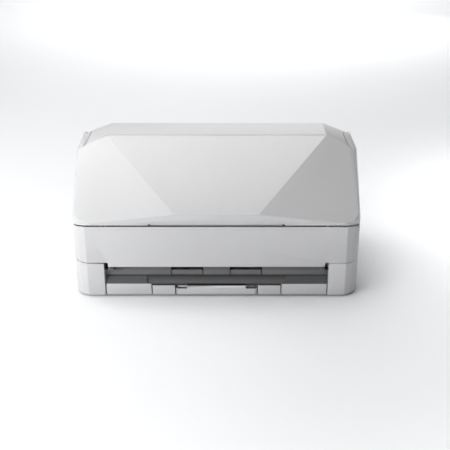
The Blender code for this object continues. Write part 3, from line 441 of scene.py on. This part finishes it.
# ------------------------------------------------------------------ small pieces
def block(name, x0, x1, y0, y1, z0, z1, mat, body, bevel=0.2):
    bm = bmesh.new()
    bmesh.ops.create_cube(bm, size=1.0)
    for v in bm.verts:
        v.co = Vector(((x0 + x1) / 2 + v.co.x * (x1 - x0), (y0 + y1) / 2 + v.co.y * (y1 - y0),
                       (z0 + z1) / 2 + v.co.z * (z1 - z0))) * MM
    obj = new_obj(name, bm, mat, body)
    for p in obj.data.polygons:
        p.use_smooth = True
    bev = obj.modifiers.new("round", "BEVEL")
    bev.width = bevel * MM
    bev.segments = 2
    bev.limit_method = "ANGLE"
    bev.harden_normals = True
    return obj


# flaps in the two recesses of the exit wall, a shadow gap round each
for k, s in (("left", -1), ("right", 1)):
    a, b = sorted((s * 14.4, s * 45.6))
    block("exit_flap_" + k, a, b, -67.35, -66.75, 18.9, 28.0, WALLGREY, "base", 0.15)
    # painted shade: a dark block in the slit at each end of the pull-out plate
    a, b = sorted((s * 65.7, s * 67.0))
    block("seam_notch_shade_" + k, a, b, -75.35, -73.0, 80.2, 81.9, DARK_AND_SHADE, "hood", 0.1)



def prism_x(name, profile, x0, x1, mat, body, bevel=0.15):
    """Bar along X with a profile in (y, z), mm."""
    bm = bmesh.new()
    ends = [[bm.verts.new(Vector((x, y, z)) * MM) for y, z in profile] for x in (x0, x1)]
    bm.faces.new(ends[0])
    bm.faces.new(ends[1])
    n = len(profile)
    for i in range(n):
        k = (i + 1) % n
        bm.faces.new((ends[0][i], ends[0][k], ends[1][k], ends[1][i]))
    obj = new_obj(name, bm, mat, body)
    for p in obj.data.polygons:
        p.use_smooth = True
    bev = obj.modifiers.new("round", "BEVEL")
    bev.width = bevel * MM
    bev.segments = 2
    bev.limit_method = "ANGLE"
    bev.angle_limit = math.radians(40)
    bev.harden_normals = True
    return obj


# the stacker's top: lip over the extensions, slope up to the exit wall, shelf at each side, coloured dark grey as
# painted shade
prism_x("stacker_lip_left", [(-73.3, 14.3), (-73.3, 15.0), (-68.2, 15.6), (-68.2, 14.3)], -66.3, -29.9, TRAY_SHADE,
        "stacker")
prism_x("stacker_lip_right", [(-73.3, 14.3), (-73.3, 15.0), (-68.2, 15.6), (-68.2, 14.3)], 29.9, 66.3, TRAY_SHADE,
        "stacker")
# painted shadow: near-black strips in the gaps under the lip, in front of the grips
block("stacker_gap", -65.9, 65.9, -73.1, -68.6, 13.15, 14.5, GAP_SHADE, "stacker", 0.05)
block("stacker_gap_middle", -29.8, 29.8, -73.15, -68.3, 13.15, 14.9, GAP_SHADE, "stacker", 0.05)
prism_x("stacker_slope", [(-72.6, 14.9), (-71.0, 15.5), (-69.8, 16.6), (-68.8, 18.3), (-68.0, 22.0), (-67.75, 22.0),
                          (-67.75, 14.9)], -71.0, 71.0, SLOPE_SHADE, "stacker", 0.1)
# painted shadow: a near-black strip along the foot of the exit wall
block("stacker_slope_edge", -112.4, 112.4, -67.98, -67.72, 21.6, 22.5, GAP_SHADE, "stacker", 0.05)
for k, s in (("left", -1), ("right", 1)):
    a, b = sorted((s * 71.2, s * 112.5))
    prism_x("stacker_shelf_" + k, [(-73.1, 15.05), (-68.0, 21.8), (-67.75, 21.8), (-67.75, 15.05)], a, b, TRAY_SHADE,
            "stacker", 0.1)
    # painted shadow: near-black strips in the joint gaps at the ends of the tray and its extensions
    a, b = sorted((s * 112.62, s * 113.2))
    block("stacker_joint_shade_" + k, a, b, -72.9, -72.0, 3.0, 15.0, GAP_SHADE, "stacker", 0.05)
    a, b = sorted((s * 41.75, s * 42.3))
    block("inner_joint_shade_" + k, a, b, -72.8, -72.0, 3.0, 11.2, GAP_SHADE, "stacker_ext_2", 0.05)
    a, b = sorted((s * 65.75, s * 66.3))
    block("extension_joint_shade_" + k, a, b, -72.9, -72.0, 3.0, 12.9, GAP_SHADE, "stacker_ext_1", 0.05)
    # the wall carried up under the front cover, clear of its hinge ears
    a, b = sorted((s * 46.2, s * 103.5))
    block("exit_wall_" + k, a, b, -66.95, -66.2, 28.9, 30.6, WALLGREY, "base", 0.1)
block("exit_wall_middle", -13.8, 13.8, -66.95, -66.2, 28.9, 30.6, WALLGREY, "base", 0.1)

# ------------------------------------------------------------------ studio
floor_bm = bmesh.new()
bmesh.ops.create_grid(floor_bm, x_segments=8, y_segments=8, size=3.2)
mesh = bpy.data.meshes.new("floor")
floor_bm.to_mesh(mesh)
floor_bm.free()
floor = bpy.data.objects.new("floor", mesh)
scene.collection.objects.link(floor)
fmat, fnt, fb = node_tree("floor_paper")
fco = coords(fnt)
link(fnt, mix_rgb(fnt, ranged(fnt, noise(fnt, 3.0, 3.0, 0.5, fco), 0.0, 1.0), (0.90, 0.905, 0.92), (0.915, 0.92, 0.935)),
     fb.inputs["Base Color"])
fb.inputs["Roughness"].default_value = 0.9
fb.inputs["Specular IOR Level"].default_value = 0.1
set_mat(floor, fmat)

world = bpy.data.worlds.new("world")
scene.world = world
world.use_nodes = True
bg = world.node_tree.nodes["Background"]
bg.inputs["Color"].default_value = (0.96, 0.97, 1.0, 1.0)
wnt = world.node_tree
seen = wnt.nodes.new("ShaderNodeLightPath").outputs["Is Camera Ray"]
link(wnt, ranged(wnt, seen, 0.02, 0.92, 0.0, 1.0), bg.inputs["Strength"])


def area(name, loc, target, size, power, spread=180.0):
    """Soft square light, aimed at a point; it isn't seen itself."""
    data = bpy.data.lights.new(name, "AREA")
    data.shape = "SQUARE"
    data.size = size
    data.energy = power
    data.spread = math.radians(spread)
    obj = bpy.data.objects.new(name, data)
    scene.collection.objects.link(obj)
    obj.location = loc
    obj.rotation_euler = (Vector(target) - Vector(loc)).to_track_quat("-Z", "Y").to_euler()
    obj.visible_camera = False
    return obj


area("ceiling", (-0.08, 0.1, 1.6), (-0.05, 0, 0), 1.6, 5.0)
area("over_front", (-0.28, -0.5, 1.3), (0, -0.1, 0.05), 0.9, 3.95)
area("over_small", (-0.1, 0.0, 1.0), (0, 0, 0.05), 0.5, 2.1)
area("key_left", (-0.6, 0.2, 0.7), (0, 0, 0.05), 0.5, 2.35)
area("fill_front_left", (-0.6, -0.5, 0.25), (0, 0, 0.08), 0.35, 3.4)
area("back", (0, 1.2, 1.1), (0, 0, 0.06), 1.0, 3.0)
area("back_low", (0.2, 1.4, 0.5), (0, 0.3, 0), 0.8, 2.3)
area("far_floor", (0, 2.1, 1.5), (0, 2.1001, 0), 1.6, 16.0, 100)
area("near_floor", (0.05, -0.95, 1.1), (0.05, -0.9501, 0), 0.6, 2.2, 60)
area("front_right_floor", (0.5, -0.45, 1.0), (0.5, -0.4501, 0), 0.3, 0.6, 39)
for k, x, y, power in (("left", -2.3, 0.3, 14.0), ("right", 2.6, 0.3, 9.0), ("front", 0.0, -2.6, 12.0)):
    area("side_floor_" + k, (x, y, 1.5), (x, y + 0.0001, 0), 1.6, power, 92)
area("floor_right", (0.455, 0.1, 1.0), (0.455, 0.1001, 0), 0.25, 0.46, 38)
area("floor_right_far", (0.75, 0.4, 1.2), (0.6, 0.3, 0), 0.3, 0.3, 45)
